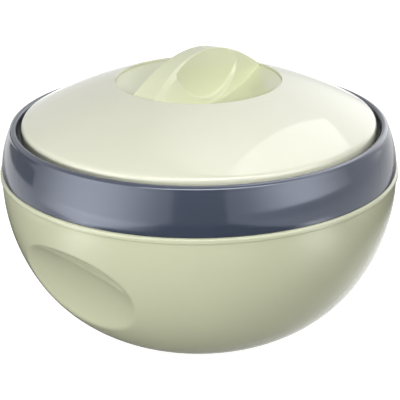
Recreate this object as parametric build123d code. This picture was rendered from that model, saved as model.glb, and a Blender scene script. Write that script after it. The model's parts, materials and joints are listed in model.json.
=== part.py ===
from build123d import *
import math
import os

# Thermal serving bowl with a lid that lifts off. Millimetres, +Z up.
# The origin is on the table under the middle. The finger recesses and the grip bar lie along X.

# Driving dimensions
BEAD_R = 125.0
BAND_LINE = 108.2
WALL = 2.6
LINER_WALL = 2.0
AIR = 0.3
SEAT_GAP = 0.1

# Outer bowl: an upright side that turns in by two tangent arcs to a flat base
SIDE_R = BEAD_R - 1.0
SIDE_TOP = BAND_LINE - 5.7
SIDE_ARC = 116.0
SIDE_SWEEP = 31.2
LOWER_ARC = 91.0
LOWER_CENTRE_Z = SIDE_TOP - (SIDE_ARC - LOWER_ARC) * math.sin(math.radians(SIDE_SWEEP))
BASE_Z = 1.0
BASE_WALL = 4.0
BEAD_TOP = BAND_LINE + 0.9
BEAD_DROP = 3.3
BEAD_ROUND = 1.6
SPIGOT_R = BEAD_R - 4.8
SPIGOT_WALL = 2.0
SPIGOT_TOP = BAND_LINE + 7.8

# Finger recesses: each is the hollow left by an upright barrel that stands beside the bowl
RECESS_ARC = 61.0
RECESS_WAIST = 200.0
RECESS_FLOOR = BEAD_R - 24.9
RECESS_Z = BAND_LINE - 67.3
RECESS_HALF = 50.0
RECESS_EDGE = 1.0

# Foot ring, and the plug of the foam hole
FOOT_INNER = 41.0
FOOT_OUTER = 47.0
FOOT_GROOVE = 1.6
FOOT_ROUND = 0.5
PLUG_R = 8.0
PLUG_FLANGE_R = 11.0
PLUG_FLANGE = 1.2
PLUG_LENGTH = 5.5

# Band: foot, bulge, shoulder, crest and inner edge of its section
BAND_LIP_TOP = BAND_LINE + 28.3
BAND_FOOT_R = BEAD_R - 1.2
BAND_BULGE_R = BEAD_R - 2.9
BAND_BULGE_Z = BAND_LINE + 14.0
BAND_SHOULDER_R = BEAD_R - 7.0
BAND_SHOULDER_Z = BAND_LIP_TOP - 2.7
BAND_CREST_R = BEAD_R - 9.8
BAND_INNER_R = BEAD_R - 11.8
BAND_INNER_Z = BAND_LIP_TOP - 1.9
BAND_LIP_EASE = 0.7
BAND_WALL = 2.3
BAND_ROOF = 0.8

# Inner bowl: two tangent arcs under a flat flange
FLANGE_Z = BAND_LINE + 8.0
FLANGE_TOP = FLANGE_Z + 2.2
FLANGE_R = SPIGOT_R - 1.0
MOUTH_R = 103.0
LINER_ARC = 150.0
LINER_SWEEP = 30.0
LINER_LOWER_ARC = 50.0
MOUTH_ROUND = 1.6

# Lid: dome arc, rounded edge and upright skirt
LID_EDGE_R = BEAD_R - 14.4
LID_EDGE_ROUND = 4.2
DOME_SLOPE_TOP = 15.8
DOME_SLOPE_EDGE = 28.5
LID_WALL = 2.4
LID_SKIRT_Z = FLANGE_TOP + 0.8
WELL_R = 51.4
WELL_RIM_Z = BAND_LINE + 54.5
WELL_RIM_ROUND = 0.8
COLLAR_WALL = 2.2
COLLAR_DROP = 1.5
LEDGE_TOP = BAND_LINE + 38.2
LEDGE_INNER = 43.0

# Grip insert: a shallow dish with an arched bar across it
INSERT_R = WELL_R - AIR
INSERT_RIM_Z = WELL_RIM_Z - 1.4
INSERT_WALL = 2.4
DISH_R = INSERT_R - 1.2
DISH_DEPTH = 11.6
BAR_ZERO = BAND_LINE + 54.0
BAR_HALF = 51.0
BAR_STATIONS = (-1.08, -0.72, -0.36, 0.0, 0.36, 0.72, 1.08)
BAR_HEIGHT = 19.4
BAR_LEAN = 0.9
BAR_WAIST = 4.7
BAR_FLARE = 3.4
BAR_ROOT = 16.0
ROOT_WIDTH = 14.2
ROOT_SKEW = 5.0
BEVEL = 1.7
BEVEL_LEAST = 0.3
BEVEL_FALL = 0.85
SCOOP_X = 0.0
SCOOP_Z = BAR_ZERO + 22.6
SCOOP_R = 33.0
SCOOP_FLOOR_R = SCOOP_R - 1.8
SCOOP_START = 0.2
SCOOP_FLOOR_ARC = 186.0
SCOOP_REACH = 40.0

# Screws that hold the insert from below
SCREW_COUNT = 4
SCREW_CIRCLE = 45.6
SCREW_R = 1.5
SCREW_HEAD_R = 2.9
SCREW_HEAD = 2.1
SCREW_LENGTH = 8.0
BOSS_R = 3.4
BOSS_END = 1.0
HOLE_AIR = 0.1

# Lid liner and seal
LINER_FLANGE_Z = BAND_LINE + 13.0
PLUG_WALL_R = 98.5
PLUG_DROP = 9.5
PLUG_ROUND = 5.0
CEILING_RISE = 5.0
SEAL_INNER = 101.8
SEAL_OUTER = 106.4


def sine(degrees):
    """Sine of an angle in degrees."""
    return math.sin(math.radians(degrees))


def dome_arc():
    """Radius of the dome's arc between the well's rim and the rounded edge."""
    span = LID_EDGE_R - LID_EDGE_ROUND * (1 - sine(DOME_SLOPE_EDGE)) - WELL_R
    return span / (sine(DOME_SLOPE_EDGE) - sine(DOME_SLOPE_TOP))


def turned(*lines):
    """Solid turned about Z from joined lines drawn as (radius, height)."""
    edges = [edge for line in lines for edge in line.edges()]
    return revolve(Plane.XZ * make_face(edges), Axis.Z)


def cap_arc(radius, rim, rise):
    """Arc centred on the axis, from the rim of a round cap to its top, or its bottom if rise is negative."""
    big = (radius**2 + rise**2) / (2 * rise)
    half = radius / 2
    middle = rim + rise - big + math.copysign(math.sqrt(big**2 - half**2), rise)
    return ThreePointArc((radius, rim), (half, middle), (0, rim + rise))


def ring(inner, outer, low, high):
    """Plain ring of rectangular section."""
    return turned(Polyline((inner, low), (outer, low), (outer, high), (inner, high), close=True))


def round_circles(body, radius, height, amount):
    """Round the circular edges of one radius at one height."""
    circles = body.edges().filter_by(GeomType.CIRCLE)
    near = [e for e in circles if abs(e.radius - radius) < 0.05 and abs(e.arc_center.Z - height) < 0.05]
    return fillet(near, amount)


def bowl_form(inset, base, top):
    """Space inside the bowl's outline, moved in by inset, from the height base to the height top."""
    lower_arc = LOWER_ARC - inset
    start = (SIDE_R - inset, SIDE_TOP)
    side = JernArc(start, (0, -1), SIDE_ARC - inset, -SIDE_SWEEP)
    turn = math.degrees(math.asin((LOWER_CENTRE_Z - base) / lower_arc)) - SIDE_SWEEP
    lower = JernArc(side @ 1, side % 1, lower_arc, -turn)
    closing = Polyline(lower @ 1, (0, base), (0, top), (SIDE_R - inset, top), start)
    return turned(side, lower, closing)


def finger_recesses(grow):
    """The two upright barrels that leave the finger recesses, larger by grow."""
    bulge = RECESS_ARC + grow
    waist = RECESS_WAIST + grow
    end = waist - bulge + math.sqrt(bulge**2 - RECESS_HALF**2)
    low, high = RECESS_Z - RECESS_HALF, RECESS_Z + RECESS_HALF
    outline = ThreePointArc((end, low), (waist, RECESS_Z), (end, high))
    barrel = turned(outline, Polyline((end, high), (0, high), (0, low), (end, low)))
    reach = RECESS_FLOOR + RECESS_WAIST
    return [Pos(side * reach, 0, 0) * barrel for side in (-1, 1)]


def bowl_bead():
    """Rounded bead on the top edge of the outer bowl, with the spigot that the band fits over."""
    bottom = BEAD_TOP - BEAD_DROP
    inner = SIDE_R - WALL / 2
    under = Polyline((inner, BEAD_TOP), (inner, bottom), (BEAD_R, bottom), (BEAD_R, BEAD_TOP - BEAD_ROUND))
    corner = JernArc(under @ 1, (0, 1), BEAD_ROUND, 90)
    bead = turned(under, corner, Line(corner @ 1, (inner, BEAD_TOP)))
    wall_in = SPIGOT_R - SPIGOT_WALL
    spigot = turned(
        Polyline(
            (inner, BEAD_TOP),
            (SPIGOT_R, BEAD_TOP),
            (SPIGOT_R, SPIGOT_TOP),
            (wall_in, SPIGOT_TOP),
            (wall_in, SIDE_TOP),
            (inner, SIDE_TOP - 2 * WALL),
            close=True,
        )
    )
    return bead + spigot


def outer_bowl():
    """Moulded outer shell with its finger recesses, foot groove and foam hole."""
    form = bowl_form(0, BASE_Z, BEAD_TOP) - finger_recesses(0)
    recess_edges = [e for e in form.edges() if e.geom_type not in (GeomType.CIRCLE, GeomType.LINE)]
    form = fillet(recess_edges, RECESS_EDGE)
    cavity = bowl_form(WALL, BASE_Z + BASE_WALL, BEAD_TOP + WALL) - finger_recesses(WALL)
    shell = form - cavity + bowl_bead()
    groove = ring(FOOT_INNER, FOOT_OUTER, 0, BASE_Z + FOOT_GROOVE)
    hole = Pos(0, 0, BASE_Z) * Cylinder(PLUG_R, 4 * BASE_WALL)
    seat = Pos(0, 0, BASE_Z) * Cylinder(PLUG_FLANGE_R, 2 * PLUG_FLANGE)
    return shell - groove - hole - seat


def foot_ring():
    """Rubber ring the bowl stands on."""
    body = ring(FOOT_INNER + AIR / 2, FOOT_OUTER - AIR / 2, 0, BASE_Z + FOOT_GROOVE)
    return fillet(body.edges().group_by(Axis.Z)[0], FOOT_ROUND)


def base_plug():
    """Flanged plug in the foam hole, flush with the base."""
    grounded = (Align.CENTER, Align.CENTER, Align.MIN)
    flange = Cylinder(PLUG_FLANGE_R - AIR, PLUG_FLANGE - AIR / 2, align=grounded)
    stem = Cylinder(PLUG_R - AIR, PLUG_LENGTH, align=grounded)
    return Pos(0, 0, BASE_Z) * (flange + stem)


def rim_band():
    """Collar of inverted channel section: bulging outer wall, rounded lip and inner leg."""
    foot = (BAND_FOOT_R, BEAD_TOP + SEAT_GAP)
    shoulder = (BAND_SHOULDER_R, BAND_SHOULDER_Z)
    crest = (BAND_CREST_R, BAND_LIP_TOP)
    inner_top = (BAND_INNER_R, BAND_INNER_Z)
    leg_end = FLANGE_TOP + SEAT_GAP
    leg_r = BAND_INNER_R + BAND_WALL
    lip_z = BAND_LIP_TOP - BAND_LIP_EASE
    outer = ThreePointArc(foot, (BAND_BULGE_R, BAND_BULGE_Z), shoulder)
    lip_out = ThreePointArc(shoulder, (BAND_SHOULDER_R - 1.4 * BAND_LIP_EASE, lip_z), crest)
    lip_in = ThreePointArc(crest, (BAND_INNER_R + BAND_LIP_EASE, lip_z), inner_top)
    roof = (BAND_SHOULDER_R - BAND_WALL, BAND_SHOULDER_Z - BAND_ROOF)
    leg = Polyline(inner_top, (BAND_INNER_R, leg_end), (leg_r, leg_end), (leg_r, roof[1]), roof)
    hollow = (BAND_BULGE_R - BAND_WALL, BAND_BULGE_Z - BAND_ROOF)
    inside = ThreePointArc(roof, hollow, (BAND_FOOT_R - BAND_WALL, foot[1]))
    return turned(outer, lip_out, lip_in, leg, inside, Line(inside @ 1, foot))


def liner_form(inset, top):
    """Space inside the inner bowl's outline, moved in by inset, up to the height top."""
    start = (MOUTH_R - inset, FLANGE_Z)
    side = JernArc(start, (0, -1), LINER_ARC - inset, -LINER_SWEEP)
    lower = JernArc(side @ 1, side % 1, LINER_LOWER_ARC - inset, LINER_SWEEP - 90)
    floor = (lower @ 1).Y
    closing = Polyline(lower @ 1, (0, floor), (0, top), (MOUTH_R - inset, top), start)
    return turned(side, lower, closing)


def inner_bowl():
    """Food bowl with the flange that the band clamps."""
    flange = ring(MOUTH_R - LINER_WALL - AIR, FLANGE_R, FLANGE_Z, FLANGE_TOP)
    body = liner_form(0, FLANGE_TOP) + flange - liner_form(LINER_WALL, FLANGE_TOP + WALL)
    return round_circles(body, MOUTH_R - LINER_WALL, FLANGE_TOP, MOUTH_ROUND)


def bowl_insulation():
    """Foam that fills the space between outer and inner bowl."""
    top = FLANGE_Z - AIR
    space = bowl_form(WALL + AIR, BASE_Z + BASE_WALL + AIR, top) - finger_recesses(WALL + AIR)
    plug_room = Pos(0, 0, BASE_Z) * Cylinder(PLUG_R, 2 * (PLUG_LENGTH + AIR))
    spigot_room = ring(SPIGOT_R - SPIGOT_WALL - AIR, BEAD_R, SIDE_TOP - 3 * WALL, FLANGE_TOP)
    return space - liner_form(-AIR, FLANGE_TOP) - plug_room - spigot_room


def lid_form(inset, bottom):
    """Space under the lid's dome, moved in by inset, down to the height bottom."""
    slope = math.radians(DOME_SLOPE_TOP)
    start = (WELL_R - inset * math.sin(slope), WELL_RIM_Z - inset * math.cos(slope))
    outward = (math.cos(slope), -math.sin(slope))
    dome = JernArc(start, outward, dome_arc() - inset, DOME_SLOPE_TOP - DOME_SLOPE_EDGE)
    edge = JernArc(dome @ 1, dome % 1, LID_EDGE_ROUND - inset, DOME_SLOPE_EDGE - 90)
    end = edge @ 1
    return turned(dome, edge, Polyline(end, (end.X, bottom), (0, bottom), (0, start[1]), start))


def screw_places():
    """Places of the screws under the insert, at the ledge's upper face."""
    return PolarLocations(SCREW_CIRCLE, SCREW_COUNT, start_angle=45)


def lid_shell():
    """Domed cover with the collar and ledge that carry the grip insert."""
    collar_r = WELL_R + COLLAR_WALL
    ledge_low = LEDGE_TOP - COLLAR_WALL
    shell = lid_form(0, LID_SKIRT_Z) - lid_form(LID_WALL, LID_SKIRT_Z - WALL)
    shell -= Pos(0, 0, WELL_RIM_Z) * Cylinder(WELL_R, 4 * COLLAR_WALL)
    shell += ring(WELL_R, collar_r, ledge_low, WELL_RIM_Z - COLLAR_DROP)
    shell += ring(LEDGE_INNER, collar_r, ledge_low, LEDGE_TOP)
    for place in screw_places():
        shell -= Pos(0, 0, LEDGE_TOP) * place * Cylinder(SCREW_R + HOLE_AIR, 4 * COLLAR_WALL)
    return round_circles(shell, WELL_R, WELL_RIM_Z, WELL_RIM_ROUND)


def bar_edge(q):
    """Front half of the bar's section at the station q, -1 to 1 along the bar, as (out, up) points.

    The top edge is an arch that spreads towards its feet, the bevel below it fades from one end to
    the other and the root spreads the other way, so the bar seems to twist across the dish.
    """
    out = BAR_WAIST + BAR_FLARE * q**2
    up = (1 - q**2) * (BAR_HEIGHT + BAR_LEAN * q)
    bevel = BEVEL * (1 - q) + BEVEL_LEAST if q < 1 else BEVEL_LEAST
    root = ROOT_WIDTH - ROOT_SKEW * q + q**2
    return [(out, up), (out + bevel, up - BEVEL_FALL * bevel), (root, -BAR_ROOT)]


def bar_section(q):
    """Closed section of the bar: its front half, and the far end's front half turned to the back."""
    front = [(-out, up) for out, up in bar_edge(q)]
    back = list(reversed(bar_edge(-q)))
    points = [Vector(q * BAR_HALF, y, BAR_ZERO + z) for y, z in front + back]
    return Wire.make_polygon(points, close=True)


def thumb_scoop():
    """Round cutter with a slightly hollow floor, lying along Y against the bar's front flank."""
    floor_mid = BAR_WAIST + SCOOP_START
    lean = math.degrees(SCOOP_FLOOR_R / SCOOP_FLOOR_ARC)
    floor = JernArc((0, floor_mid), (1, 0), SCOOP_FLOOR_ARC, lean)
    side = JernArc(floor @ 1, floor % 1, SCOOP_R - SCOOP_FLOOR_R, 90 - lean)
    end = side @ 1
    closing = Polyline(end, (end.X, SCOOP_REACH), (0, SCOOP_REACH), (0, floor_mid))
    edges = [edge for line in (floor, side, closing) for edge in line.edges()]
    cutter = revolve(make_face(edges), Axis.Y)
    return Pos(SCOOP_X, 0, SCOOP_Z) * Rot(180, 0, 0) * cutter


def grip_bar():
    """Arched bar with a thumb scoop in each flank, cut to the room inside the dish."""
    bar = Solid.make_loft([bar_section(q) for q in BAR_STATIONS])
    scoop = thumb_scoop()
    bar = bar - scoop - Rot(0, 0, 180) * scoop
    floor = cap_arc(INSERT_R, INSERT_RIM_Z - INSERT_WALL / 2, -DISH_DEPTH)
    room_top = BAR_ZERO + 2 * BAR_HEIGHT
    room = turned(floor, Polyline(floor @ 1, (0, room_top), (INSERT_R, room_top), floor @ 0))
    return bar & room


def grip_insert():
    """Dish with its outer wall, the arched bar and the screw bosses, in one moulding."""
    inner_r = INSERT_R - INSERT_WALL
    dish = cap_arc(DISH_R, INSERT_RIM_Z, -DISH_DEPTH)
    under = cap_arc(inner_r, INSERT_RIM_Z - INSERT_WALL, -DISH_DEPTH)
    wall_low = LEDGE_TOP + SEAT_GAP
    wall = Polyline((inner_r, INSERT_RIM_Z - INSERT_WALL), (inner_r, wall_low), (INSERT_R, wall_low))
    outside = Polyline((INSERT_R, wall_low), (INSERT_R, INSERT_RIM_Z), (DISH_R, INSERT_RIM_Z))
    body = turned(dish, Line(dish @ 1, under @ 1), under, wall, outside) + grip_bar()
    boss_length = INSERT_RIM_Z - INSERT_WALL / 2 - DISH_DEPTH / 2 - wall_low
    grounded = (Align.CENTER, Align.CENTER, Align.MIN)
    for place in screw_places():
        foot = Pos(0, 0, wall_low) * place
        body += foot * Cylinder(BOSS_R, boss_length, align=grounded)
        body -= foot * Cylinder(SCREW_R + HOLE_AIR, boss_length - BOSS_END, align=grounded)
    return body


def grip_screws():
    """Four pan-headed screws, each a separate solid."""
    grounded = (Align.CENTER, Align.CENTER, Align.MIN)
    head_z = LEDGE_TOP - COLLAR_WALL - SCREW_HEAD
    head = Cylinder(SCREW_HEAD_R, SCREW_HEAD, align=grounded)
    head = fillet(head.edges().group_by(Axis.Z)[0], SCREW_HEAD / 3)
    screw = head + Cylinder(SCREW_R, SCREW_HEAD + SCREW_LENGTH, align=grounded)
    return Compound([Pos(0, 0, head_z) * place * screw for place in screw_places()])


def liner_ceiling(height, plug_r):
    """Underside line of the lid liner from its flange down the plug wall and in to the axis."""
    bottom = height - PLUG_DROP
    wall = Line((plug_r, height), (plug_r, bottom + PLUG_ROUND))
    corner = JernArc(wall @ 1, (0, -1), PLUG_ROUND, -90)
    return wall, corner, cap_arc(plug_r - PLUG_ROUND, bottom, CEILING_RISE)


def lid_liner():
    """Pan that closes the lid from below and plugs the bowl's mouth."""
    outer_r = LID_EDGE_R - LID_WALL - AIR
    top = LINER_FLANGE_Z + LINER_WALL
    below = liner_ceiling(LINER_FLANGE_Z, PLUG_WALL_R)
    above = liner_ceiling(top, PLUG_WALL_R - LINER_WALL)
    flange = Polyline((PLUG_WALL_R, LINER_FLANGE_Z), (outer_r, LINER_FLANGE_Z), (outer_r, top), above[0] @ 0)
    return turned(*below, Line(below[2] @ 1, above[2] @ 1), *above, flange)


def lid_seal():
    """Soft ring under the liner's flange, rounded where it meets the bowl."""
    body = ring(SEAL_INNER, SEAL_OUTER, FLANGE_TOP + AIR, LINER_FLANGE_Z - AIR / 3)
    return fillet(body.edges().group_by(Axis.Z)[0], FOOT_ROUND)


def lid_insulation():
    """Foam between the dome and the liner, open round the insert and its screws."""
    foam = lid_form(LID_WALL + AIR, LINER_FLANGE_Z + LINER_WALL + AIR)
    top = LINER_FLANGE_Z + LINER_WALL + AIR
    wall, corner, ceiling = liner_ceiling(top, PLUG_WALL_R - LINER_WALL - AIR)
    foam += turned(wall, corner, ceiling, Polyline(ceiling @ 1, (0, top), wall @ 0))
    well_low = LEDGE_TOP - COLLAR_WALL - SCREW_HEAD - AIR
    grounded = (Align.CENTER, Align.CENTER, Align.MIN)
    well = Cylinder(WELL_R + COLLAR_WALL + AIR, 2 * BAR_HEIGHT, align=grounded)
    return foam - Pos(0, 0, well_low) * well


PIECES = (
    outer_bowl,
    rim_band,
    inner_bowl,
    bowl_insulation,
    base_plug,
    foot_ring,
    lid_shell,
    grip_insert,
    grip_screws,
    lid_insulation,
    lid_liner,
    lid_seal,
)

os.makedirs("parts", exist_ok=True)
for piece in PIECES:
    export_step(piece(), f"parts/{piece.__name__}.step")
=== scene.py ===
import json
import math

import bpy
import numpy as np
from mathutils import Euler, Matrix, Vector


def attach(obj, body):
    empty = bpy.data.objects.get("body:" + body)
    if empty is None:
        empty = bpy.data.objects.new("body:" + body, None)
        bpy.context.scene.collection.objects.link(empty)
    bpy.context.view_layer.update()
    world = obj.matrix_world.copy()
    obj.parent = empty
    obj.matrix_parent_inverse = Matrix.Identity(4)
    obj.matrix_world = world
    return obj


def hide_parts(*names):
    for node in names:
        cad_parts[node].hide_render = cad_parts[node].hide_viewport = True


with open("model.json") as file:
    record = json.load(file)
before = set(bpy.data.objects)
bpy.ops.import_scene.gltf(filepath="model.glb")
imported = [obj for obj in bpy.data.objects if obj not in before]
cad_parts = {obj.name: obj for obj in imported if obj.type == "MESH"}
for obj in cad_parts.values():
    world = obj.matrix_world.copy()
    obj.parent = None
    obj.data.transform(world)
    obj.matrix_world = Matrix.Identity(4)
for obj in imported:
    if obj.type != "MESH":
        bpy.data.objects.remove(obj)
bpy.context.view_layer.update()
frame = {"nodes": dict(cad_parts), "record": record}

MM = 0.001

# Fineness of the meshes: steps per metre to which points are rounded before equal ones merge, steps of a
# line while its bends are rounded, extra share of points in its bends, and counts of rows and columns
MERGE_STEPS = 1e7
EASE_STEPS = 4096
BEND_SHARE = 1.2
TURNED_COLUMNS = 320
SIDE_ROWS = 96
ABOVE_ROWS = 12
BELOW_ROWS = 20
FREE_COLUMNS = 72
EDGE_LEVELS = 6000
CEILING_ROWS = 40
GRIP_STATIONS = 236
TOP_ROWS = 8
FLANK_ROWS = 130
DISH_ROWS = 22
RIM_ROWS = 5
UNDER_ROWS = 30
HALVINGS = 40

# Sizes in millimetres, as in the part's source, apart from the narrower gap round the grip insert; the
# heights of the bar and its scoop count from BAR_ZERO
BEAD_R = 125.0
BAND_LINE = 108.2
WALL = 2.6
AIR = 0.3
SEAT_GAP = 0.1

SIDE_R = BEAD_R - 1.0
SIDE_TOP = BAND_LINE - 5.7
SIDE_ARC = 116.0
SIDE_SWEEP = 31.2
LOWER_ARC = 91.0
BASE_Z = 1.0
BASE_WALL = 4.0
BEAD_TOP = BAND_LINE + 0.9
BEAD_DROP = 3.3
BEAD_ROUND = 1.6
SPIGOT_R = BEAD_R - 4.8
SPIGOT_WALL = 2.0
SPIGOT_TOP = BAND_LINE + 7.8

RECESS_ARC = 61.0
RECESS_WAIST = 200.0
RECESS_FLOOR = BEAD_R - 24.9
RECESS_Z = BAND_LINE - 67.3

FOOT_INNER = 41.0
FOOT_OUTER = 47.0
FOOT_GROOVE = 1.6
PLUG_R = 8.0
PLUG_FLANGE_R = 11.0
PLUG_FLANGE = 1.2

BAND_LIP_TOP = BAND_LINE + 28.3
BAND_FOOT_R = BEAD_R - 1.2
BAND_BULGE_R = BEAD_R - 2.9
BAND_BULGE_Z = BAND_LINE + 14.0
BAND_SHOULDER_R = BEAD_R - 7.0
BAND_SHOULDER_Z = BAND_LIP_TOP - 2.7
BAND_CREST_R = BEAD_R - 9.8
BAND_INNER_R = BEAD_R - 11.8
BAND_INNER_Z = BAND_LIP_TOP - 1.9
BAND_LIP_EASE = 0.7
BAND_WALL = 2.3
BAND_ROOF = 0.8

FLANGE_Z = BAND_LINE + 8.0
FLANGE_TOP = FLANGE_Z + 2.2
FLANGE_R = SPIGOT_R - 1.0
MOUTH_R = 103.0
MOUTH_ROUND = 1.6
LINER_WALL = 2.0
LINER_ARC = 150.0
LINER_SWEEP = 30.0
LINER_LOWER_ARC = 50.0

LID_EDGE_R = BEAD_R - 14.4
LID_EDGE_ROUND = 4.2
DOME_SLOPE_TOP = 15.8
DOME_SLOPE_EDGE = 28.5
LID_WALL = 2.4
LID_SKIRT_Z = FLANGE_TOP + 0.8
WELL_R = 51.4
WELL_RIM_Z = BAND_LINE + 54.5
COLLAR_WALL = 2.2
LEDGE_TOP = BAND_LINE + 38.2
LEDGE_INNER = 43.0

INSERT_R = WELL_R - SEAT_GAP
INSERT_RIM_Z = WELL_RIM_Z - 1.4
INSERT_WALL = 2.4
DISH_R = INSERT_R - 1.2
DISH_DEPTH = 11.6
BAR_ZERO = BAND_LINE + 54.0
BAR_HALF = 51.0
BAR_HEIGHT = 19.4
BAR_LEAN = 0.9
BAR_WAIST = 4.7
BAR_FLARE = 3.4
BAR_ROOT = 16.0
ROOT_WIDTH = 14.2
ROOT_SKEW = 5.0
BEVEL = 1.7
BEVEL_LEAST = 0.3
BEVEL_FALL = 0.85
SCOOP_X = 0.0
SCOOP_Z = 22.6
SCOOP_R = 33.0
SCOOP_FLOOR_R = SCOOP_R - 1.8
SCOOP_START = 0.2
SCOOP_FLOOR_ARC = 186.0

LINER_FLANGE_Z = BAND_LINE + 13.0
PLUG_WALL_R = 98.5
PLUG_DROP = 9.5
PLUG_ROUND = 5.0
CEILING_RISE = 5.0

# Soft edges, margins and stand-ins that only these meshes need, in millimetres; the spread counts in half
# widths of the recess, and the grip's top edge is held over the first share 1 / TOP_HOLD of its flank
NEAR_AXIS = 0.02
FAR_OUT = 10 * BEAD_R
FAR_DOWN = -99.0
BASE_CLEAR = 0.6
BASE_MARGIN = 3.0
BEAD_CLEAR = 1.0
BEAD_EASE = 0.5
SPIGOT_STEP = 1.0
RECESS_SPREAD = 1.45
RECESS_SOFT = 0.9
RECESS_LOWER_SOFT = 0.8
RECESS_INSIDE_SOFT = 1.0
BAND_LIP_SIDE = 1.4 * BAND_LIP_EASE
SCOOP_SOFT = 0.25
SCOOP_NONE = 60.0
TOP_HOLD = 6
WALL_STEP = 0.01
WALL_INSET = 0.02

# View, fitted to the round edges in the photograph: degrees, metres and pixels
VIEW_TURN = -49.7
VIEW_PITCH = 22.12
VIEW_ROLL = -0.47
VIEW_DISTANCE = 0.7446
VIEW_HEIGHT = 0.3841
VIEW_FOCAL_PIXELS = 1250.0
VIEW_AXIS_PIXEL = 199.5
IMAGE_PIXELS = 400.0
SENSOR = 36.0


# Meshes from grids of points

def mesh_from_grid(name, points, wrap_rows, wrap_columns):
    """Mesh piece from a grid of points in millimetres, rows by columns by three.

    Each cell of the grid becomes one four-sided face. A wrapped direction joins its last line to its
    first. Points that fall together, as at a pole, are merged, and the faces are turned outwards by the
    sign of the volume they enclose.
    """
    rows, columns, _ = points.shape
    index = np.arange(rows * columns).reshape(rows, columns)
    down = np.roll(index, -1, axis=0)
    across = np.roll(index, -1, axis=1)
    both = np.roll(down, -1, axis=1)
    quads = np.stack((index, across, both, down), axis=-1)
    quads = quads[: rows if wrap_rows else rows - 1, : columns if wrap_columns else columns - 1]
    quads = quads.reshape(-1, 4)
    flat = points.reshape(-1, 3) * MM
    keys = np.round(flat * MERGE_STEPS).astype(np.int64)
    _, first, same = np.unique(keys, axis=0, return_index=True, return_inverse=True)
    flat = flat[first]
    quads = same.reshape(-1)[quads]
    return mesh_piece(name, flat, quads)


def mesh_piece(name, flat, quads):
    """Mesh object at the origin from points in metres and four-sided faces.

    A face with merged corners loses them, and drops out when fewer than three stay.
    """
    a, b, c, d = flat[quads[:, 0]], flat[quads[:, 1]], flat[quads[:, 2]], flat[quads[:, 3]]
    volume = np.sum(np.cross(a, b) * c) + np.sum(np.cross(a, c) * d)
    if volume < 0:
        quads = quads[:, ::-1]
    distinct = quads != np.roll(quads, 1, axis=1)
    counts = distinct.sum(axis=1)
    kept = counts >= 3
    loops = quads[kept][distinct[kept]]
    counts = counts[kept]
    mesh = bpy.data.meshes.new(name)
    mesh.vertices.add(len(flat))
    mesh.vertices.foreach_set("co", flat.astype(np.float32).ravel())
    mesh.loops.add(len(loops))
    mesh.loops.foreach_set("vertex_index", loops.astype(np.int32))
    mesh.polygons.add(len(counts))
    starts = np.concatenate(([0], np.cumsum(counts)[:-1]))
    mesh.polygons.foreach_set("loop_start", starts.astype(np.int32))
    mesh.update(calc_edges=True)
    mesh.validate()
    mesh.shade_smooth()
    piece = bpy.data.objects.new(name, mesh)
    bpy.context.scene.collection.objects.link(piece)
    return piece


# Lines drawn as (radius, height)

def arc(centre, radius, start, end, steps=48):
    """Circular arc: the centre plus radius times cosine and sine of evenly spaced angles, in degrees."""
    angle = np.radians(np.linspace(start, end, steps))
    return np.column_stack((centre[0] + radius * np.cos(angle), centre[1] + radius * np.sin(angle)))


def arc_through(start, middle, end, steps=32):
    """Arc through three points, about the point that is equally far from all of them."""
    p, q, r = (np.array(point, float) for point in (start, middle, end))
    sides = np.array((q - p, r - p)) * 2
    reach = np.array((q @ q - p @ p, r @ r - p @ p))
    centre = np.linalg.solve(sides, reach)
    turns = [math.degrees(math.atan2(*(point - centre)[::-1])) for point in (p, q, r)]
    turns = np.degrees(np.unwrap(np.radians(turns)))
    return arc(centre, np.linalg.norm(p - centre), turns[0], turns[2], steps)


def cap_height(radius, rim, rise, r):
    """Height at the radius r of a shallow round cap, part of a sphere from its rim to its top or bottom."""
    big = (radius**2 + rise**2) / (2 * rise)
    return rim + rise - big + math.copysign(1, rise) * np.sqrt(big**2 - np.minimum(r, radius) ** 2)


def eased(corners, softness, count):
    """Closed line through corners with its bends rounded off.

    The line is cut into EASE_STEPS equal steps, and each point is averaged with its neighbours by a bell
    curve of the width softness, as a product in frequency. Then count points are kept, closer together
    where the line turns.
    """
    line = np.vstack((corners, corners[:1]))
    run = np.concatenate(([0], np.cumsum(np.linalg.norm(np.diff(line, axis=0), axis=1))))
    even = np.linspace(0, run[-1], EASE_STEPS + 1)[:-1]
    dense = np.column_stack([np.interp(even, run, line[:, k]) for k in (0, 1)])
    pitch = np.fft.fftfreq(len(dense), d=run[-1] / len(dense))
    bell = np.exp(-2 * (math.pi * softness * pitch) ** 2)
    dense = np.real(np.fft.ifft(np.fft.fft(dense, axis=0) * bell[:, None], axis=0))
    step = np.roll(dense, -1, axis=0) - dense
    heading = np.arctan2(step[:, 1], step[:, 0])
    turn = np.abs(np.angle(np.exp(1j * (heading - np.roll(heading, 1)))))
    weight = np.linalg.norm(step, axis=1) / run[-1] + BEND_SHARE * turn / turn.sum()
    place = np.concatenate(([0], np.cumsum(weight)))
    wanted = np.linspace(0, place[-1], count + 1)[:-1]
    ring = np.vstack((dense, dense[:1]))
    return np.column_stack([np.interp(wanted, place, ring[:, k]) for k in (0, 1)])


def turned_piece(name, profile):
    """Piece turned about Z: each profile point (r, z) goes round as (r cos a, r sin a, z)."""
    angle = np.linspace(0, 2 * math.pi, TURNED_COLUMNS, endpoint=False)
    radius, height = profile[:, 0, None], profile[:, 1, None]
    points = np.stack((radius * np.cos(angle), radius * np.sin(angle), height + 0 * angle), axis=-1)
    return mesh_from_grid(name, points, True, True)


# Outer bowl

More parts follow.
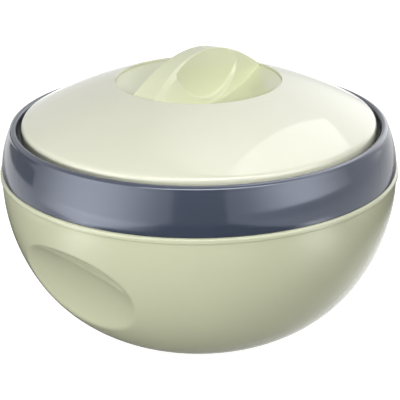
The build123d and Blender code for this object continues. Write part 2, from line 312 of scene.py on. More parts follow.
def bowl_line(inset, base):
    """Bowl's side from its top edge to the base: an arc of SIDE_ARC that turns into one of LOWER_ARC."""
    lower = LOWER_ARC - inset
    sweep = math.radians(SIDE_SWEEP)
    first = (SIDE_R - SIDE_ARC, SIDE_TOP)
    gap = SIDE_ARC - LOWER_ARC
    second = (first[0] + gap * math.cos(sweep), first[1] - gap * math.sin(sweep))
    end = math.degrees(math.asin((second[1] - base) / lower))
    upper_part = arc(first, SIDE_ARC - inset, 0, -SIDE_SWEEP, SIDE_ROWS)
    return np.vstack((upper_part, arc(second, lower, -SIDE_SWEEP, -end, SIDE_ROWS)[1:]))


def barrel_radius(height, grow):
    """Radius of the upright barrel that leaves the recess: a bulging arc over its height, 0 elsewhere."""
    square = (RECESS_ARC + grow) ** 2 - (height - RECESS_Z) ** 2
    return np.where(square > 0, RECESS_WAIST - RECESS_ARC + np.sqrt(np.maximum(square, 0)), 0)


def recess_reach(height, turn, grow):
    """Distance from the axis at which a level line at the angle turn meets the barrel, or FAR_OUT.

    It is the nearer crossing of a line with a circle whose middle stands on X at the barrel's distance.
    """
    away = RECESS_FLOOR + RECESS_WAIST
    square = barrel_radius(height, grow) ** 2 - (away * np.sin(turn)) ** 2
    near = away * np.abs(np.cos(turn)) - np.sqrt(np.maximum(square, 0))
    return np.where(square > 0, near, FAR_OUT)


def softer_of(first, second, width):
    """Smaller of two values, eased into each other where they differ by less than width."""
    near = np.maximum(width - np.abs(first - second), 0) / width
    return np.minimum(first, second) - near**2 * width / 4


def clustered(inside, outside, edge):
    """Grid lines from -RECESS_SPREAD to RECESS_SPREAD with a dense cluster on either side of -1 and 1."""
    close = 0.16
    crowding = 1.6
    half = np.concatenate(
        (
            np.linspace(0, 1 - close, inside, endpoint=False),
            1 - close * np.linspace(1, 0, edge, endpoint=False) ** crowding,
            1 + close * np.linspace(0, 1, edge, endpoint=False) ** crowding,
            np.linspace(1 + close, RECESS_SPREAD, outside),
        )
    )
    return np.concatenate((-half[:0:-1], half))


def recess_edge(side):
    """Recess's edge on the bowl: at each height the angle at which the bowl's circle meets the barrel's."""
    height = np.linspace(BASE_Z, SIDE_TOP, EDGE_LEVELS)
    radius = np.interp(height, side[::-1, 1], side[::-1, 0])
    away = RECESS_FLOOR + RECESS_WAIST
    share = (radius**2 + away**2 - barrel_radius(height, 0) ** 2) / (2 * radius * away)
    cut = share < 1
    return np.degrees(np.arccos(share[cut])), height[cut]


def round_lines_to_edge(across, up, edge_angle, edge_height, middle, half_angle, half_height):
    """Bend square grid lines round the recess so that the lines at 1 follow its edge.

    In coordinates where the recess spans -1 to 1 both ways, a point at the square distance m moves along
    its own ray: inside to m times the edge's distance on that ray, and outside by a straight blend back
    to its own place at RECESS_SPREAD.
    """
    edge_across = np.concatenate((edge_angle, -edge_angle)) / half_angle
    edge_up = np.tile((edge_height - middle) / half_height, 2)
    edge_turn = np.arctan2(edge_up, edge_across)
    order = np.argsort(edge_turn)
    square = np.maximum(np.abs(across), np.abs(up))
    ray = np.arctan2(up, across)
    reach = np.interp(ray, edge_turn[order], np.hypot(edge_across, edge_up)[order], period=2 * math.pi)
    own = np.hypot(across, up)
    blend = np.clip((square - 1) / (RECESS_SPREAD - 1), 0, 1)
    moved = np.where(square <= 1, square * reach, reach * (1 - blend) + own * blend)
    moved = np.where(square >= RECESS_SPREAD, own, moved)
    return moved * np.cos(ray), moved * np.sin(ray)


def bowl_rest(side_end):
    """Rest of the bowl's section after its outer side, and which of its points lie on the inside wall.

    It runs over the base with the foot's groove and the plug's hole, up the inside, and round the spigot
    and the bead.
    """
    groove = BASE_Z + FOOT_GROOVE
    step = BASE_Z + PLUG_FLANGE
    base = [
        (side_end - BASE_MARGIN, BASE_Z),
        (FOOT_OUTER, BASE_Z),
        (FOOT_OUTER, groove),
        (FOOT_INNER, groove),
        (FOOT_INNER, BASE_Z),
        (PLUG_FLANGE_R, BASE_Z),
        (PLUG_FLANGE_R, step),
        (PLUG_R, step),
        (PLUG_R, BASE_Z + BASE_WALL),
    ]
    every_fourth = bowl_line(WALL, BASE_Z + BASE_WALL)[::-1][::4]
    wall_in = SPIGOT_R - SPIGOT_WALL
    bead_low = BEAD_TOP - BEAD_DROP
    rest = np.vstack(
        (
            base,
            every_fourth,
            [(SIDE_R - WALL, SIDE_TOP), (wall_in, SIDE_TOP + SPIGOT_STEP), (wall_in, SPIGOT_TOP)],
            [(SPIGOT_R, SPIGOT_TOP), (SPIGOT_R, BEAD_TOP)],
            arc((BEAD_R - BEAD_ROUND, BEAD_TOP - BEAD_ROUND), BEAD_ROUND, 90, 0, 9),
            arc((BEAD_R - BEAD_EASE, bead_low + BEAD_EASE), BEAD_EASE, 0, -90, 5),
            arc((SIDE_R + BEAD_EASE, bead_low - BEAD_EASE), BEAD_EASE, 90, 180, 5),
        )
    )
    return rest, (np.arange(len(rest)) >= len(base)) & (rest[:, 1] < SIDE_TOP)


def bowl_shell():
    """Outer bowl as a closed section turned about Z, with the two finger recesses pressed into it.

    The radius at an angle and height is the smaller of the turned section's radius and the barrel's
    reach, eased into each other along the edge.
    """
    side = bowl_line(0, BASE_Z)
    edge_angle, edge_height = recess_edge(side)
    half_angle = edge_angle.max()
    middle = (edge_height.max() + edge_height.min()) / 2
    half_height = (edge_height.max() - edge_height.min()) / 2

    block = clustered(14, 6, 9)
    block_angle = block * half_angle
    free = np.linspace(block_angle[-1], 180 + block_angle[0], FREE_COLUMNS)[1:-1]
    angle = np.concatenate((block_angle, free, block_angle + 180, free + 180))
    across = ((angle + 90) % 180 - 90) / half_angle

    under_bead = BEAD_TOP - BEAD_DROP - BEAD_CLEAR
    block_top = middle + RECESS_SPREAD * half_height
    block_low = middle - RECESS_SPREAD * half_height
    above = np.linspace(under_bead, block_top, ABOVE_ROWS)[:-1]
    below = np.linspace(block_low, BASE_Z + BASE_CLEAR, BELOW_ROWS)[1:]
    rows = np.concatenate((above, middle + block[::-1] * half_height, below))
    row_grid, across_grid = np.meshgrid(rows, across, indexing="ij")
    up_grid = (row_grid - middle) / half_height
    new_across, new_up = round_lines_to_edge(
        across_grid, up_grid, edge_angle, edge_height, middle, half_angle, half_height
    )
    height = middle + new_up * half_height
    turn = np.radians(new_across * half_angle + np.round(angle / 180) * 180)
    radius = np.interp(height, side[::-1, 1], side[::-1, 0])
    softness = RECESS_SOFT + RECESS_LOWER_SOFT * np.clip((middle - height) / half_height, 0, 1)
    radius = softer_of(radius, recess_reach(height, turn, 0), softness)

    rest, inside = bowl_rest(side[-1, 0])
    rest_height = rest[:, 1, None] + 0 * angle
    rest_turn = np.radians(angle) + 0 * rest_height
    rest_radius = rest[:, 0, None] + 0 * angle
    pressed = softer_of(rest_radius, recess_reach(rest_height, rest_turn, WALL), RECESS_INSIDE_SOFT)
    rest_radius = np.where(inside[:, None], pressed, rest_radius)

    radius = np.vstack((radius, rest_radius))
    height = np.vstack((height, rest_height))
    turn = np.vstack((turn, rest_turn))
    points = np.stack((radius * np.cos(turn), radius * np.sin(turn), height), axis=-1)
    return mesh_from_grid("bowl_shell", points, True, True)


# Band, inner bowl, lid and liner

def band_profile():
    """Section of the collar: bulging outer wall, rounded lip and inner leg."""
    foot = (BAND_FOOT_R, BEAD_TOP + SEAT_GAP)
    shoulder = (BAND_SHOULDER_R, BAND_SHOULDER_Z)
    crest = (BAND_CREST_R, BAND_LIP_TOP)
    inner_top = (BAND_INNER_R, BAND_INNER_Z)
    leg_end = FLANGE_TOP + SEAT_GAP
    leg_r = BAND_INNER_R + BAND_WALL
    lip_z = BAND_LIP_TOP - BAND_LIP_EASE
    roof = (BAND_SHOULDER_R - BAND_WALL, BAND_SHOULDER_Z - BAND_ROOF)
    hollow = (BAND_BULGE_R - BAND_WALL, BAND_BULGE_Z - BAND_ROOF)
    return np.vstack(
        (
            arc_through(foot, (BAND_BULGE_R, BAND_BULGE_Z), shoulder),
            arc_through(shoulder, (BAND_SHOULDER_R - BAND_LIP_SIDE, lip_z), crest)[1:],
            arc_through(crest, (BAND_INNER_R + BAND_LIP_EASE, lip_z), inner_top)[1:],
            [(BAND_INNER_R, leg_end), (leg_r, leg_end), (leg_r, roof[1])],
            arc_through(roof, hollow, (BAND_FOOT_R - BAND_WALL, foot[1])),
        )
    )


def liner_line(inset):
    """Inner bowl's side from its mouth to its floor: an arc of LINER_ARC, then one of LINER_LOWER_ARC."""
    sweep = math.radians(LINER_SWEEP)
    first = (MOUTH_R - LINER_ARC, FLANGE_Z)
    gap = LINER_ARC - LINER_LOWER_ARC
    second = (first[0] + gap * math.cos(sweep), first[1] - gap * math.sin(sweep))
    upper_part = arc(first, LINER_ARC - inset, 0, -LINER_SWEEP)
    return np.vstack((upper_part, arc(second, LINER_LOWER_ARC - inset, -LINER_SWEEP, -90)[1:]))


def inner_bowl_profile():
    """Section of the food bowl with its flange."""
    outside = liner_line(0)
    inside = liner_line(LINER_WALL)[::-1]
    return np.vstack(
        (
            [(FLANGE_R, FLANGE_TOP), (FLANGE_R, FLANGE_Z)],
            outside,
            [(NEAR_AXIS, outside[-1, 1]), (NEAR_AXIS, inside[0, 1])],
            inside,
            arc((MOUTH_R - LINER_WALL + MOUTH_ROUND, FLANGE_TOP - MOUTH_ROUND), MOUTH_ROUND, 180, 90, 9),
        )
    )


def dome_line(inset):
    """Dome from the well's rim to the skirt: an arc between two slopes, then the rounded edge."""
    top, edge = math.radians(DOME_SLOPE_TOP), math.radians(DOME_SLOPE_EDGE)
    span = LID_EDGE_R - LID_EDGE_ROUND * (1 - math.sin(edge)) - WELL_R
    big = span / (math.sin(edge) - math.sin(top))
    centre = np.array((WELL_R - big * math.sin(top), WELL_RIM_Z - big * math.cos(top)))
    corner = centre + (big - LID_EDGE_ROUND) * np.array((math.sin(edge), math.cos(edge)))
    dome = arc(centre, big - inset, 90 - DOME_SLOPE_TOP, 90 - DOME_SLOPE_EDGE, 64)
    return np.vstack((dome, arc(corner, LID_EDGE_ROUND - inset, 90 - DOME_SLOPE_EDGE, 0, 24)[1:]))


def lid_profile():
    """Section of the lid: dome, skirt, and the collar and ledge that carry the grip."""
    outside = dome_line(0)
    inside = dome_line(LID_WALL)[::-1]
    collar = WELL_R + COLLAR_WALL
    ledge_low = LEDGE_TOP - COLLAR_WALL
    inside = inside[inside[:, 0] > collar]
    return np.vstack(
        (
            outside,
            [(LID_EDGE_R, LID_SKIRT_Z), (LID_EDGE_R - LID_WALL, LID_SKIRT_Z)],
            inside,
            [(collar, inside[-1, 1]), (collar, ledge_low), (LEDGE_INNER, ledge_low)],
            [(LEDGE_INNER, LEDGE_TOP), (WELL_R, LEDGE_TOP)],
        )
    )


def ceiling_line(height, plug_r):
    """Underside of the liner: plug wall, rounded corner and a shallow cap that rises to the axis."""
    bottom = height - PLUG_DROP
    r = np.linspace(plug_r - PLUG_ROUND, NEAR_AXIS, CEILING_ROWS)
    return np.vstack(
        (
            [(plug_r, height)],
            arc((plug_r - PLUG_ROUND, bottom + PLUG_ROUND), PLUG_ROUND, 0, -90, 16),
            np.column_stack((r, cap_height(plug_r - PLUG_ROUND, bottom, CEILING_RISE, r))),
        )
    )


def lid_liner_profile():
    """Section of the pan that closes the lid from below."""
    outer_r = LID_EDGE_R - LID_WALL - AIR
    top = LINER_FLANGE_Z + LINER_WALL
    below = ceiling_line(LINER_FLANGE_Z, PLUG_WALL_R)
    above = ceiling_line(top, PLUG_WALL_R - LINER_WALL)[::-1]
    return np.vstack((below, above, [(outer_r, top), (outer_r, LINER_FLANGE_Z)]))


# Grip: dish and arched bar

def flank_out(q, z):
    """Distance of the bar's front flank from its middle at the station q and height z over the rim.

    Straight lines join the top edge, the foot of the bevel and the root. The edge is an arch that
    spreads towards its feet, the bevel fades from one end to the other and the root spreads the other way.
    """
    out, up = bar_edge(q)
    bevel = BEVEL * (1 - np.minimum(q, 1)) + BEVEL_LEAST
    fold_out, fold_up = out + bevel, up - BEVEL_FALL * bevel
    root = ROOT_WIDTH - ROOT_SKEW * q + q**2
    on_bevel = out + (up - z) / BEVEL_FALL
    below = fold_out + (root - fold_out) * (fold_up - z) / (fold_up + BAR_ROOT)
    return np.where(z > fold_up, on_bevel, below)


def bar_edge(q):
    """Top edge of the bar's front: distance from the middle and height over the rim."""
    return BAR_WAIST + BAR_FLARE * q**2, (1 - q**2) * (BAR_HEIGHT + BAR_LEAN * q)


def scoop_out(x, z):
    """Floor of the thumb scoop: a very flat bowl about the scoop's axis that turns up to an upright rim."""
    away = np.hypot(x - SCOOP_X, z - SCOOP_Z)
    lean = SCOOP_FLOOR_R / SCOOP_FLOOR_ARC
    end_r = SCOOP_FLOOR_ARC * math.sin(lean)
    end_out = SCOOP_FLOOR_ARC * (1 - math.cos(lean))
    turn = SCOOP_R - SCOOP_FLOOR_R
    centre_r = end_r - turn * math.sin(lean)
    centre_out = end_out + turn * math.cos(lean)
    flat = SCOOP_FLOOR_ARC - np.sqrt(np.maximum(SCOOP_FLOOR_ARC**2 - np.minimum(away, end_r) ** 2, 0))
    past = np.clip(away - centre_r, 0, turn)
    rise = centre_out - np.sqrt(np.maximum(turn**2 - past**2, 0))
    out = np.where(away < end_r, flat, rise)
    return BAR_WAIST + SCOOP_START + np.where(away < centre_r + turn, out, SCOOP_NONE)


def bar_out(x, z):
    """Front of the bar at x and height z: the flank or the scoop, whichever lies further in."""
    return softer_of(flank_out(x / BAR_HALF, z), scoop_out(x, z), SCOOP_SOFT)


def dish_height(r):
    """Height of the dish over the rim line: a shallow round cap inside a narrow flat rim."""
    return cap_height(DISH_R, INSERT_RIM_Z, -DISH_DEPTH, r) - BAR_ZERO


def grip_half(x, chord):
    """Front half of the insert's upper side as (out, up) rows for each x, from the bar's middle to the rim.

    First the bar's top, then its flank down to where it meets the dish or the insert's round edge, which
    is found by halving the height HALVINGS times, then the dish and its flat rim.
    """
    q = np.clip(x / BAR_HALF, -1.0, 1.0)
    out, up = bar_edge(q)
    far_up = bar_edge(-q)[1]
    share = np.linspace(0, 1, TOP_ROWS)[:-1, None]
    top_out = share * np.minimum(out, chord)
    top_up = (up + far_up) / 2 + (up - far_up) / 2 * top_out / out

    low, high = np.full_like(x, -BAR_ROOT), up.copy()
    for _ in range(HALVINGS):
        middle = (low + high) / 2
        reach = bar_out(x, middle)
        clear = (middle > dish_height(np.hypot(x, reach))) & (reach < chord)
        high = np.where(clear, middle, high)
        low = np.where(clear, low, middle)
    share = np.linspace(0, 1, FLANK_ROWS)[:, None]
    flank_up = up + (high - up) * share
    flank = np.minimum(bar_out(x, flank_up), chord)
    flank = np.maximum(flank, np.minimum(out, chord) * (1 - TOP_HOLD * share))

    foot = flank[-1]
    lip = np.maximum(np.sqrt(np.maximum(DISH_R**2 - x**2, 0)), foot)
    share = np.linspace(0, 1, DISH_ROWS)[1:, None]
    dish_out = foot + (lip - foot) * share
    dish_up = np.maximum(dish_height(np.hypot(x, dish_out)), np.where(foot < chord, FAR_DOWN, high))
    rim_out = lip + (chord - lip) * np.linspace(0, 1, RIM_ROWS)[1:, None]
    rim_up = np.where(foot < chord, INSERT_RIM_Z - BAR_ZERO, high) + 0 * rim_out
    return (
        np.vstack((top_out, flank, dish_out, rim_out)),
        np.vstack((top_up, flank_up, dish_up, rim_up)),
    )


def grip_piece():
    """Grip insert as one closed section carried along X.

    The upper side is the front half and, turned by half a turn about Z, the same half as the back. Under
    it follow the outer wall and the underside of the dish. One pass of averaging with the neighbours along
    and across breaks its edges.
    """
    inner_r = INSERT_R - INSERT_WALL
    steps = np.sin(np.linspace(-math.pi / 2, math.pi / 2, GRIP_STATIONS))
    x = np.sort(np.concatenate((steps * INSERT_R, [-inner_r - WALL_STEP, inner_r + WALL_STEP])))
    x = (x - x[::-1]) / 2
    chord = np.sqrt(np.maximum(INSERT_R**2 - x**2, 0))
    out, up = grip_half(x, chord)
    upper_y = np.vstack((out[::-1, ::-1], -out[1:]))
    upper_z = np.vstack((up[::-1, ::-1], up[1:])) + BAR_ZERO
    rim = RIM_ROWS - 1
    for field in (upper_y, upper_z):
        field[1:-1] = (field[:-2] + 2 * field[1:-1] + field[2:]) / 4
        inner = field[rim:-rim]
        inner[:, 1:-1] = (inner[:, :-2] + 2 * inner[:, 1:-1] + inner[:, 2:]) / 4

    wall_low = LEDGE_TOP + SEAT_GAP
    well = np.sqrt(np.maximum(inner_r**2 - x**2, 0))
    inset = np.minimum(WALL_INSET, well)
    side = np.linspace(1, -1, UNDER_ROWS)[:, None]
    under_y = np.vstack((-chord, -well - inset, -(well - inset) * side, well + inset, chord))
    away = np.hypot(x, under_y)
    under = cap_height(inner_r, INSERT_RIM_Z - INSERT_WALL, -DISH_DEPTH, away)
    under_z = np.where(away < inner_r, under, wall_low)
    y = np.vstack((upper_y, under_y))
    z = np.vstack((upper_z, under_z))
    points = np.stack((x + 0 * y, y, z), axis=-1)
    return mesh_from_grid("grip_body", points, True, False)


# Materials

NOISE_SPAN = (0.3, 0.7)


def plain_material(name, roughness, ior=1.5):
    """Material with a Principled shader, its tree and the shader, with the constant sockets set."""
    material = bpy.data.materials.new(name)
    material.use_nodes = True
    tree = material.node_tree
    skin = tree.nodes["Principled BSDF"]
    skin.inputs["Roughness"].default_value = roughness
    skin.inputs["IOR"].default_value = ior
    return material, tree, skin


def noise(tree, scale, detail, stretch=(1, 1, 1)):
    """Noise on Object coordinates, stretched along the axes; scale counts blotches per metre."""
    coordinates = tree.nodes.new("ShaderNodeTexCoord")
    mapping = tree.nodes.new("ShaderNodeMapping")
    mapping.inputs["Scale"].default_value = stretch
    texture = tree.nodes.new("ShaderNodeTexNoise")
    texture.inputs["Scale"].default_value = scale
    texture.inputs["Detail"].default_value = detail
    tree.links.new(coordinates.outputs["Object"], mapping.inputs["Vector"])
    tree.links.new(mapping.outputs["Vector"], texture.inputs["Vector"])
    return texture.outputs["Fac"]


def ranged(tree, value, low, high):
    """Spread a noise value, which mostly stays in NOISE_SPAN, over low to high."""
    spread = tree.nodes.new("ShaderNodeMapRange")
    spread.inputs["From Min"].default_value = NOISE_SPAN[0]
    spread.inputs["From Max"].default_value = NOISE_SPAN[1]
    spread.inputs["To Min"].default_value = low
    spread.inputs["To Max"].default_value = high
    tree.links.new(value, spread.inputs["Value"])
    return spread.outputs["Result"]


def scaled(colour, share):
    """Colour times a share."""
    return tuple(min(part * share, 1.0) for part in colour)


def tint(tree, skin, value, colour, dark, light):
    """Base colour from the colour times dark to the colour times light, by a noise value."""
    mix = tree.nodes.new("ShaderNodeMix")
    mix.data_type = "RGBA"
    mix.inputs["A"].default_value = (*scaled(colour, dark), 1)
    mix.inputs["B"].default_value = (*scaled(colour, light), 1)
    tree.links.new(ranged(tree, value, 0, 1), mix.inputs["Factor"])
    tree.links.new(mix.outputs["Result"], skin.inputs["Base Color"])


def relief(tree, skin, value, strength, depth):
    """Fine relief in the surface by a noise value, depth in metres."""
    bump = tree.nodes.new("ShaderNodeBump")
    bump.inputs["Strength"].default_value = strength
    bump.inputs["Distance"].default_value = depth
    tree.links.new(value, bump.inputs["Height"])
    tree.links.new(bump.outputs["Normal"], skin.inputs["Normal"])


def polished_plastic(name, colour, roughness, ior, sheen=(1, 1, 1)):
    """Moulded plastic with a polished skin: faint cloudy tint, fine wiped haze, a trace of orange peel."""
    material, tree, skin = plain_material(name, roughness, ior)
    cloud = noise(tree, scale=14, detail=3)
    tint(tree, skin, cloud, colour, dark=0.975, light=1.025)
    haze = noise(tree, scale=260, detail=4, stretch=(1, 1, 0.25))
    tree.links.new(ranged(tree, haze, roughness * 0.8, roughness * 1.25), skin.inputs["Roughness"])
    skin.inputs["Specular Tint"].default_value = (*sheen, 1)
    peel = noise(tree, scale=420, detail=2)
    relief(tree, skin, peel, strength=0.05, depth=0.0002)
    return material


def matt_material(name, colour, roughness, grain):
    """Matt moulding, foam or rubber: mottled tint and a fine grain of the given scale in the surface."""
    material, tree, skin = plain_material(name, roughness)
    mottle = noise(tree, scale=grain, detail=5)
    tint(tree, skin, mottle, colour, dark=0.86, light=1.1)
    relief(tree, skin, mottle, strength=0.4, depth=0.0004)
    return material


def screw_material():
    """Bright plated steel with fine turning marks."""
    material, tree, skin = plain_material("screw_steel", 0.3)
    marks = noise(tree, scale=900, detail=3, stretch=(1, 1, 6))
    tint(tree, skin, marks, (1, 1, 1), dark=0.5, light=0.68)
    tree.links.new(ranged(tree, marks, 0.22, 0.38), skin.inputs["Roughness"])
    skin.inputs["Metallic"].default_value = 1.0
    return material


BOWL_GREEN = (0.595, 0.615, 0.43)
LID_GREEN = (0.77, 0.78, 0.62)
GRIP_GREEN = (0.74, 0.77, 0.535)
SLATE = (0.045, 0.056, 0.083)

FINISHES = {
    "bowl_plastic": polished_plastic("bowl_plastic", BOWL_GREEN, 0.07, 1.52),
    "lid_plastic": polished_plastic("lid_plastic", LID_GREEN, 0.05, 1.55),
    "grip_plastic": polished_plastic("grip_plastic", GRIP_GREEN, 0.12, 1.5),
    "band_plastic": polished_plastic("band_plastic", SLATE, 0.12, 1.7, (0.83, 0.87, 1.0)),
    "liner_plastic": polished_plastic("liner_plastic", (0.80, 0.80, 0.75), 0.22, 1.5),
    "foam": matt_material("foam", (0.8, 0.74, 0.55), 0.9, 600),
    "plug_plastic": matt_material("plug_plastic", (0.55, 0.56, 0.45), 0.5, 1500),
    "foot_rubber": matt_material("foot_rubber", (0.05, 0.052, 0.055), 0.7, 1200),
    "seal_rubber": matt_material("seal_rubber", (0.72, 0.72, 0.68), 0.55, 1200),
    "screw_steel": screw_material(),
}


# Pieces of the part

def finish_piece(piece, body, replaced, slot):
    """Give a piece the material of its slot, tie it to its body, and hide the CAD node it stands for."""
    piece.data.materials.append(FINISHES[slot])
    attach(piece, body)
    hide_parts(replaced)


# Turned pieces: name, section, softness of its edges, points of the section, body, CAD node and slot
TURNED_PIECES = (
    ("band", band_profile(), 0.25, 130, "bowl", "rim_band", "band_plastic"),
    ("food_bowl", inner_bowl_profile(), 0.3, 130, "bowl", "inner_bowl", "liner_plastic"),
    ("lid_cover", lid_profile(), 0.35, 170, "lid", "lid_shell", "lid_plastic"),
    ("lid_pan", lid_liner_profile(), 0.4, 120, "lid", "lid_liner", "liner_plastic"),
)

finish_piece(bowl_shell(), "bowl", "outer_bowl", "bowl_plastic")
for name, section, softness, count, body, node, slot in TURNED_PIECES:
    finish_piece(turned_piece(name, eased(section, softness, count)), body, node, slot)
finish_piece(grip_piece(), "lid", "grip_insert", "grip_plastic")

for part in frame["record"]["subparts"]:
    shown = frame["nodes"][part["node"]]
    shown.data.materials.clear()
    shown.data.materials.append(FINISHES[part["material_slot"]])


# Studio: floor, world, lamps and camera, in degrees and metres

FLOOR_HALF = 4.0
FLOOR_GREY = 0.45
CARPET_ENDS = (-0.7, 1.1)
CARPET_FADE = (-0.6, -0.1)
CARPET_LIFT = 0.0005
FOOT_FADE = 0.6
PART_MIDDLE = 0.1
STRAIGHT_UP = 50


def view_direction(turn):
    """Level direction from the bowl's axis, turned to the right of the camera's direction by degrees."""
    angle = math.radians(VIEW_TURN + turn)
    return Vector((math.sin(angle), -math.cos(angle), 0))


def seen_ray(tree):
    """1 for rays from the camera, reflections and glass, and 0 for the rest."""
    path = tree.nodes.new("ShaderNodeLightPath")
    value = path.outputs["Is Camera Ray"]
    for other in ("Is Glossy Ray", "Is Transmission Ray"):
        larger = tree.nodes.new("ShaderNodeMath")
        larger.operation = "MAXIMUM"
        tree.links.new(value, larger.inputs[0])
        tree.links.new(path.outputs[other], larger.inputs[1])
        value = larger.outputs[0]
    return value


def studio_world(fill):
    """White world where it is seen, and a weaker white fill light elsewhere."""
    world = bpy.data.worlds.new("studio")
    bpy.context.scene.world = world
    world.use_nodes = True
    tree = world.node_tree
    tree.nodes.clear()
    shown = tree.nodes.new("ShaderNodeBackground")
    weak = tree.nodes.new("ShaderNodeBackground")
    weak.inputs["Strength"].default_value = fill
    for background in (shown, weak):
        background.inputs["Color"].default_value = (1, 1, 1, 1)
    mix = tree.nodes.new("ShaderNodeMixShader")
    output = tree.nodes.new("ShaderNodeOutputWorld")
    tree.links.new(seen_ray(tree), mix.inputs[0])
    tree.links.new(weak.outputs[0], mix.inputs[1])
    tree.links.new(shown.outputs[0], mix.inputs[2])
    tree.links.new(mix.outputs[0], output.inputs[0])


def studio_floor(glow):
    """Wide white floor that takes the shadow and glows a little where it is seen."""
    half = FLOOR_HALF
    corners = [(-half, -half, 0), (half, -half, 0), (half, half, 0), (-half, half, 0)]
    mesh = bpy.data.meshes.new("floor")
    mesh.from_pydata(corners, [], [(0, 1, 2, 3)])
    floor = bpy.data.objects.new("floor", mesh)
    bpy.context.scene.collection.objects.link(floor)
    material = bpy.data.materials.new("floor_paper")
    material.use_nodes = True
    tree = material.node_tree
    tree.nodes.clear()
    paper = tree.nodes.new("ShaderNodeBsdfDiffuse")
    paper.inputs["Color"].default_value = (FLOOR_GREY, FLOOR_GREY, FLOOR_GREY, 1)
    light = tree.nodes.new("ShaderNodeEmission")
    strength = tree.nodes.new("ShaderNodeMath")
    strength.operation = "MULTIPLY"
    strength.inputs[1].default_value = glow
    tree.links.new(seen_ray(tree), strength.inputs[0])
    tree.links.new(strength.outputs[0], light.inputs["Strength"])
    add = tree.nodes.new("ShaderNodeAddShader")
    output = tree.nodes.new("ShaderNodeOutputMaterial")
    tree.links.new(paper.outputs[0], add.inputs[0])
    tree.links.new(light.outputs[0], add.inputs[1])
    tree.links.new(add.outputs[0], output.inputs[0])
    mesh.materials.append(material)


def softbox(name, turn, distance, height, size, radiance, aim=PART_MIDDLE):
    """Flat lamp at a turn from the camera that faces the height aim on the part's axis.

    Its power is its radiance times pi times its area.
    """
    lamp = bpy.data.lights.new(name, "AREA")
    lamp.shape = "RECTANGLE"
    lamp.size, lamp.size_y = size
    lamp.energy = radiance * math.pi * size[0] * size[1]
    holder = bpy.data.objects.new(name, lamp)
    place = view_direction(turn) * distance + Vector((0, 0, height))
    facing = Vector((0, 0, aim)) - place
    holder.matrix_world = Matrix.Translation(place) @ facing.to_track_quat("-Z", "Y").to_matrix().to_4x4()
    holder.visible_camera = False
    bpy.context.scene.collection.objects.link(holder)
    return holder


def smooth_step(tree, value, low, high, first=0.0, last=1.0):
    """The number first where the value is below low, last where it is above high, and smooth between."""
    step = tree.nodes.new("ShaderNodeMapRange")
    step.interpolation_type = "SMOOTHSTEP"
    step.inputs["From Min"].default_value = low
    step.inputs["From Max"].default_value = high
    step.inputs["To Min"].default_value = first
    step.inputs["To Max"].default_value = last
    tree.links.new(value, step.inputs["Value"])
    return step.outputs["Result"]


def only_gloss(holder, start, end, foot):
    """Let only reflections see a softbox, and fade it to a share at each side and at its foot.

    The foot is the lower edge of a lamp that stands, and the near edge of one that faces straight up.
    """
    holder.visible_diffuse = False
    holder.data.use_nodes = True
    tree = holder.data.node_tree
    surface = tree.nodes.new("ShaderNodeNewGeometry")
    split = tree.nodes.new("ShaderNodeSeparateXYZ")
    tree.links.new(surface.outputs["Parametric"], split.inputs[0])
    across = split.outputs["X"]
    both = tree.nodes.new("ShaderNodeMath")
    both.operation = "MULTIPLY"
    tree.links.new(smooth_step(tree, across, 0.0, 0.5, start, 1.0), both.inputs[0])
    tree.links.new(smooth_step(tree, across, 0.5, 1.0, 1.0, end), both.inputs[1])
    all_edges = tree.nodes.new("ShaderNodeMath")
    all_edges.operation = "MULTIPLY"
    tree.links.new(both.outputs[0], all_edges.inputs[0])
    tree.links.new(smooth_step(tree, split.outputs["Y"], 0.0, FOOT_FADE, foot, 1.0), all_edges.inputs[1])
    tree.links.new(all_edges.outputs[0], tree.nodes["Emission"].inputs["Strength"])


def stage_mesh(name, corners, material):
    """Four-cornered sheet of the studio that only reflections see."""
    mesh = bpy.data.meshes.new(name)
    mesh.from_pydata(corners, [], [(0, 1, 2, 3)])
    mesh.materials.append(material)
    sheet = bpy.data.objects.new(name, mesh)
    sheet.visible_camera = False
    sheet.visible_diffuse = False
    sheet.visible_shadow = False
    bpy.context.scene.collection.objects.link(sheet)


def grey_card(name, shade):
    """Material that shows one grey shade in reflections, its tree and its shader."""
    material, tree, skin = plain_material(name, 1.0)
    skin.inputs["Base Color"].default_value = (0, 0, 0, 1)
    skin.inputs["Specular IOR Level"].default_value = 0
    skin.inputs["Emission Color"].default_value = (1, 1, 1, 1)
    skin.inputs["Emission Strength"].default_value = shade
    return material, tree, skin


def dark_carpet(hole, behind, aside, fade, half, shade):
    """Dark carpet with a faded round hole under the part, set back and aside, and a faded back edge."""
    material, tree, skin = grey_card("dark_carpet", shade)
    place = tree.nodes.new("ShaderNodeTexCoord").outputs["Object"]
    offset = tree.nodes.new("ShaderNodeVectorMath")
    offset.inputs[1].default_value = view_direction(0) * behind - view_direction(90) * aside
    length = tree.nodes.new("ShaderNodeVectorMath")
    length.operation = "LENGTH"
    front = tree.nodes.new("ShaderNodeVectorMath")
    front.operation = "DOT_PRODUCT"
    front.inputs[1].default_value = view_direction(0)
    tree.links.new(place, offset.inputs[0])
    tree.links.new(offset.outputs["Vector"], length.inputs[0])
    tree.links.new(place, front.inputs[0])
    both = tree.nodes.new("ShaderNodeMath")
    both.operation = "MULTIPLY"
    tree.links.new(smooth_step(tree, length.outputs["Value"], hole, hole + fade), both.inputs[0])
    tree.links.new(smooth_step(tree, front.outputs["Value"], *CARPET_FADE), both.inputs[1])
    tree.links.new(both.outputs[0], skin.inputs["Alpha"])
    lift = Vector((0, 0, CARPET_LIFT))
    back, near = CARPET_ENDS
    sides = ((-half, back), (half, back), (half, near), (-half, near))
    corners = [view_direction(90) * across + view_direction(0) * ahead + lift for across, ahead in sides]
    stage_mesh("dark_carpet", corners, material)


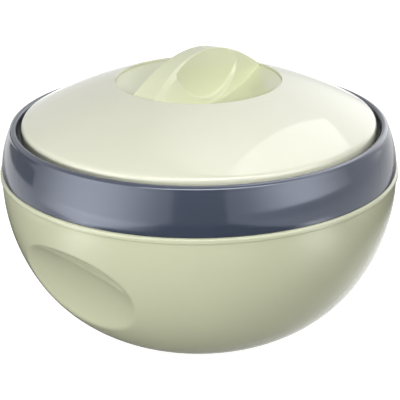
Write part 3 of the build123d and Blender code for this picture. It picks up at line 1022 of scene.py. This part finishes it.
def standing_card(name, turns, distance, top, shade):
    """Card of a grey shade that stands on the floor between two turns from the camera."""
    low = [view_direction(turn) * distance for turn in turns]
    high = [place + Vector((0, 0, top)) for place in low]
    stage_mesh(name, [low[0], low[1], high[1], high[0]], grey_card(name, shade)[0])


def photo_camera():
    """Camera at the photograph's place, pitch, roll and focal length."""
    camera = bpy.data.cameras.new("photo_view")
    camera.sensor_fit = "HORIZONTAL"
    camera.sensor_width = SENSOR
    camera.lens = VIEW_FOCAL_PIXELS * SENSOR / IMAGE_PIXELS
    camera.shift_x = (IMAGE_PIXELS / 2 - VIEW_AXIS_PIXEL) / IMAGE_PIXELS
    camera.clip_start = 0.01
    camera.clip_end = 50
    holder = bpy.data.objects.new("photo_view", camera)
    place = view_direction(0) * VIEW_DISTANCE + Vector((0, 0, VIEW_HEIGHT))
    turn = Euler((math.radians(90 - VIEW_PITCH), 0, math.radians(VIEW_TURN))).to_matrix()
    roll = Matrix.Rotation(math.radians(VIEW_ROLL), 3, "Z")
    holder.matrix_world = Matrix.Translation(place) @ (turn @ roll).to_4x4()
    bpy.context.scene.collection.objects.link(holder)
    bpy.context.scene.camera = holder


# Lamps that only reflections see: name, turn, distance, height, size, radiance, height they face, and the
# shares left at both sides and at the foot
GLOSS_LAMPS = (
    ("left_gloss", -54, 0.42, 0.17, (0.66, 0.36), 3.1, PART_MIDDLE, (0.05, 0.05, 1.0)),
    ("right_gloss", 52, 0.5, 0.34, (0.62, 0.4), 3.0, 0.34, (0.05, 0.15, 1.0)),
    ("left_strip", -58, 0.3, 0.003, (0.22, 0.3), 2.4, STRAIGHT_UP, (0.0, 0.0, 0.0)),
    ("right_strip", 56, 0.3, 0.003, (0.22, 0.3), 2.2, STRAIGHT_UP, (0.0, 0.0, 0.0)),
    ("front_gloss", 5, 0.7, 0.72, (1.2, 0.28), 8.0, PART_MIDDLE, (0.5, 0.5, 1.0)),
    ("patch_gloss", 110, 0.6, 1.82, (0.85, 2.5), 1.4, 1.82, (1.0, 1.0, 1.0)),
    ("sky_gloss", 142, 1.1, 1.05, (2.2, 2.6), 1.7, PART_MIDDLE, (0.0, 0.0, 1.0)),
)

# Lamps that reflections don't see: name, turn, distance, height, size and radiance
SOFT_LAMPS = (
    ("key_box", -50, 0.9, 0.165, (0.8, 0.32), 5.5),
    ("front_box", 0, 0.75, 0.75, (0.5, 0.4), 2.0),
    ("right_box", 30, 0.85, 0.55, (0.5, 0.4), 5.5),
    ("top_box", 30, 0.5, 1.2, (1.2, 0.8), 1.0),
    ("back_box", 180, 1.1, 0.4, (1.2, 0.7), 2.2),
)

studio_world(fill=0.2)
studio_floor(glow=0.9)
dark_carpet(hole=0.09, behind=0.08, aside=0.065, fade=0.11, half=0.33, shade=0.03)
standing_card("near_card", turns=(-14, 14), distance=1.1, top=0.9, shade=0.25)
standing_card("left_wall", turns=(-100, -147), distance=1.0, top=0.2, shade=0.3)
for *setting, shares in GLOSS_LAMPS:
    only_gloss(softbox(*setting), *shares)
for setting in SOFT_LAMPS:
    softbox(*setting).visible_glossy = False
photo_camera()
bpy.context.scene.view_settings.view_transform = "Standard"
